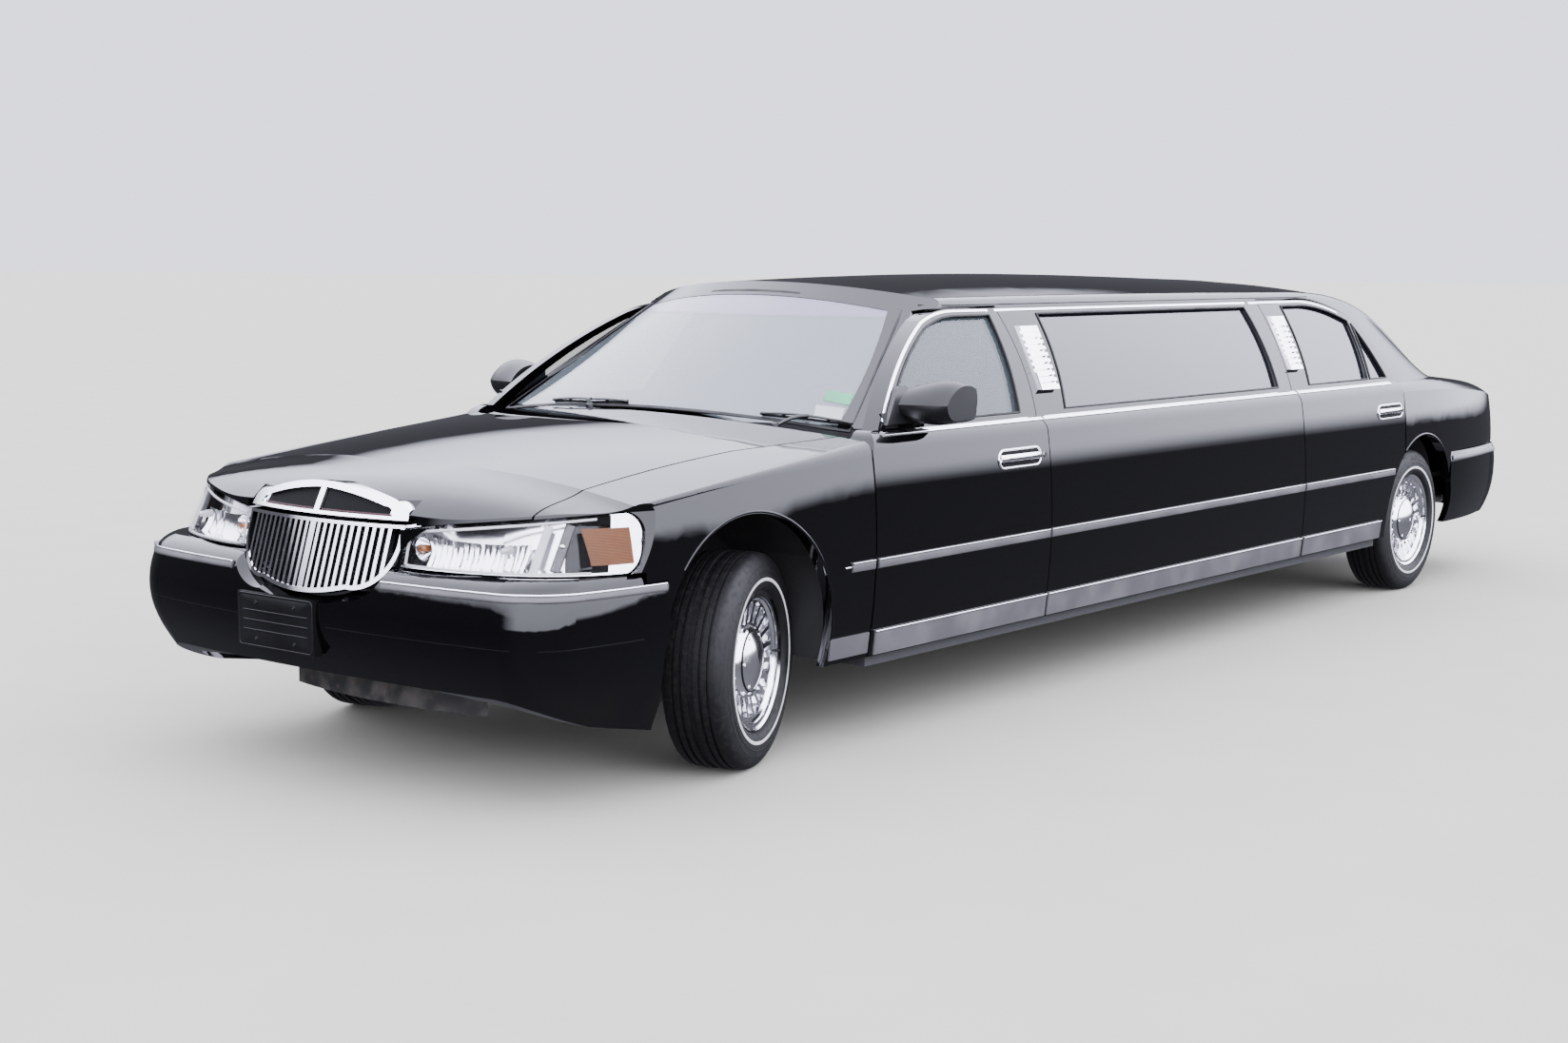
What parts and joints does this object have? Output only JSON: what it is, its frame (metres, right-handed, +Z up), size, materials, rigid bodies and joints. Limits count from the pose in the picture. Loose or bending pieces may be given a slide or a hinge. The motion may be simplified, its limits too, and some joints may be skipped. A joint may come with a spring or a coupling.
{
  "type": "stretch limousine",
  "caption": "Long black stretch limousine with a bright upright grille, four doors, opening hood and trunk, steered front wheels and a hollow cabin behind dark glass.",
  "frame": {"origin": "on the ground below the middle of the car's length and width", "axes": "front faces -Y, the car's left side is +X, up is +Z"},
  "size_m": [2.166, 7.64, 1.5501],
  "materials": {
    "paint": "gloss black paint",
    "bumper": "gloss black painted cover",
    "bright": "polished bright trim",
    "black_trim": "satin black plastic",
    "liner": "rough black plastic",
    "front_glass": "lightly tinted clear glass",
    "rear_glass": "dark privacy glass",
    "lamp_glass": "clear lens",
    "reflector": "bright reflector",
    "lamp_red": "red lens",
    "frame_steel": "dusty black frame paint",
    "underbody": "dusty underbody coating",
    "cast": "dull cast metal",
    "radiator": "dull fins",
    "interior": "dark grained plastic",
    "leather": "dark leather",
    "exhaust": "heat-dulled steel",
    "tyre": "black rubber with a thin white ring",
    "alloy": "bright machined alloy"
  },
  "bodies": {
    "chassis": {"front_fenders": "paint", "wheelhouses": "liner", "centre_sections": "paint", "centre_windows": "rear_glass", "opera_lamps": "bright", "windscreen": "front_glass", "rear_window": "rear_glass", "roof": "paint", "quarter_panels": "paint", "rear_deck": "paint", "tail_panel": "paint", "tail_lamps": "lamp_red", "front_bumper": "bumper", "rear_bumper": "bumper", "plate_holder": "black_trim", "headlamp_lenses": "lamp_glass", "headlamp_housings": "reflector", "grille": "bright", "front_fascia": "paint", "chassis_frame": "frame_steel", "floor_pan": "underbody", "engine_block": "cast", "radiator": "radiator", "cowl": "black_trim", "dashboard": "interior", "steering_wheel": "interior", "front_seats": "leather", "partition": "interior", "rear_seats": "leather", "console": "interior", "front_suspension": "frame_steel", "rear_axle": "cast", "driveline": "cast", "exhaust": "exhaust", "fuel_tank": "underbody"},
    "hood": {"hood": "paint", "hood_header": "bright"},
    "trunk_lid": {"trunk_lid": "paint"},
    "front_door_left": {"front_door_left": "paint", "front_door_glass_left": "front_glass", "mirror_left": "black_trim"},
    "front_door_right": {"front_door_right": "paint", "front_door_glass_right": "front_glass", "mirror_right": "black_trim"},
    "rear_door_left": {"rear_door_left": "paint", "rear_door_glass_left": "rear_glass", "door_lamp_left": "bright"},
    "rear_door_right": {"rear_door_right": "paint", "rear_door_glass_right": "rear_glass", "door_lamp_right": "bright"},
    "knuckle_left": {"knuckle_left": "cast"},
    "knuckle_right": {"knuckle_right": "cast"},
    "wheel_front_left": {"tyre_front_left": "tyre", "rim_front_left": "alloy"},
    "wheel_front_right": {"tyre_front_right": "tyre", "rim_front_right": "alloy"},
    "wheel_rear_left": {"tyre_rear_left": "tyre", "rim_rear_left": "alloy"},
    "wheel_rear_right": {"tyre_rear_right": "tyre", "rim_rear_right": "alloy"}
  },
  "joints": [
    {"name": "hood_hinge", "type": "hinge", "parent": "chassis", "child": "hood", "pos_m": [0, -2.168, 1.03], "axis": [-1, 0, 0], "range_deg": [0, 50]},
    {"name": "trunk_hinge", "type": "hinge", "parent": "chassis", "child": "trunk_lid", "pos_m": [0, 2.832, 1.07], "axis": [1, 0, 0], "range_deg": [0, 70]},
    {"name": "front_door_left_hinge", "type": "hinge", "parent": "chassis", "child": "front_door_left", "pos_m": [0.9855, -2.213, 0.65], "axis": [0, 0, -1], "range_deg": [0, 65]},
    {"name": "rear_door_left_hinge", "type": "hinge", "parent": "chassis", "child": "rear_door_left", "pos_m": [0.9855, 1.022, 0.65], "axis": [0, 0, -1], "range_deg": [0, 65]},
    {"name": "front_door_right_hinge", "type": "hinge", "parent": "chassis", "child": "front_door_right", "pos_m": [-0.9855, -2.213, 0.65], "axis": [0, 0, 1], "range_deg": [0, 65]},
    {"name": "rear_door_right_hinge", "type": "hinge", "parent": "chassis", "child": "rear_door_right", "pos_m": [-0.9855, 1.022, 0.65], "axis": [0, 0, 1], "range_deg": [0, 65]},
    {"name": "steer_left", "type": "hinge", "parent": "chassis", "child": "knuckle_left", "pos_m": [0.71, -2.768, 0.347], "axis": [0, 0, 1], "range_deg": [-52, 14]},
    {"name": "steer_right", "type": "hinge", "parent": "chassis", "child": "knuckle_right", "pos_m": [-0.71, -2.768, 0.347], "axis": [0, 0, 1], "range_deg": [-52, 14]},
    {"name": "wheel_front_left_spin", "type": "hinge", "parent": "knuckle_left", "child": "wheel_front_left", "pos_m": [0.79982, -2.73707, 0.347], "axis": [0.9455, 0.3256, 0], "continuous": true},
    {"name": "wheel_front_right_spin", "type": "hinge", "parent": "knuckle_right", "child": "wheel_front_right", "pos_m": [-0.79982, -2.79893, 0.347], "axis": [0.9455, 0.3256, 0], "continuous": true},
    {"name": "wheel_rear_left_spin", "type": "hinge", "parent": "chassis", "child": "wheel_rear_left", "pos_m": [0.833, 2.381, 0.347], "axis": [1, 0, 0], "continuous": true},
    {"name": "wheel_rear_right_spin", "type": "hinge", "parent": "chassis", "child": "wheel_rear_right", "pos_m": [-0.833, 2.381, 0.347], "axis": [1, 0, 0], "continuous": true}
  ],
  "couplings": [
    {"joint": "steer_right", "follows": "steer_left", "ratio": 1}
  ]
}
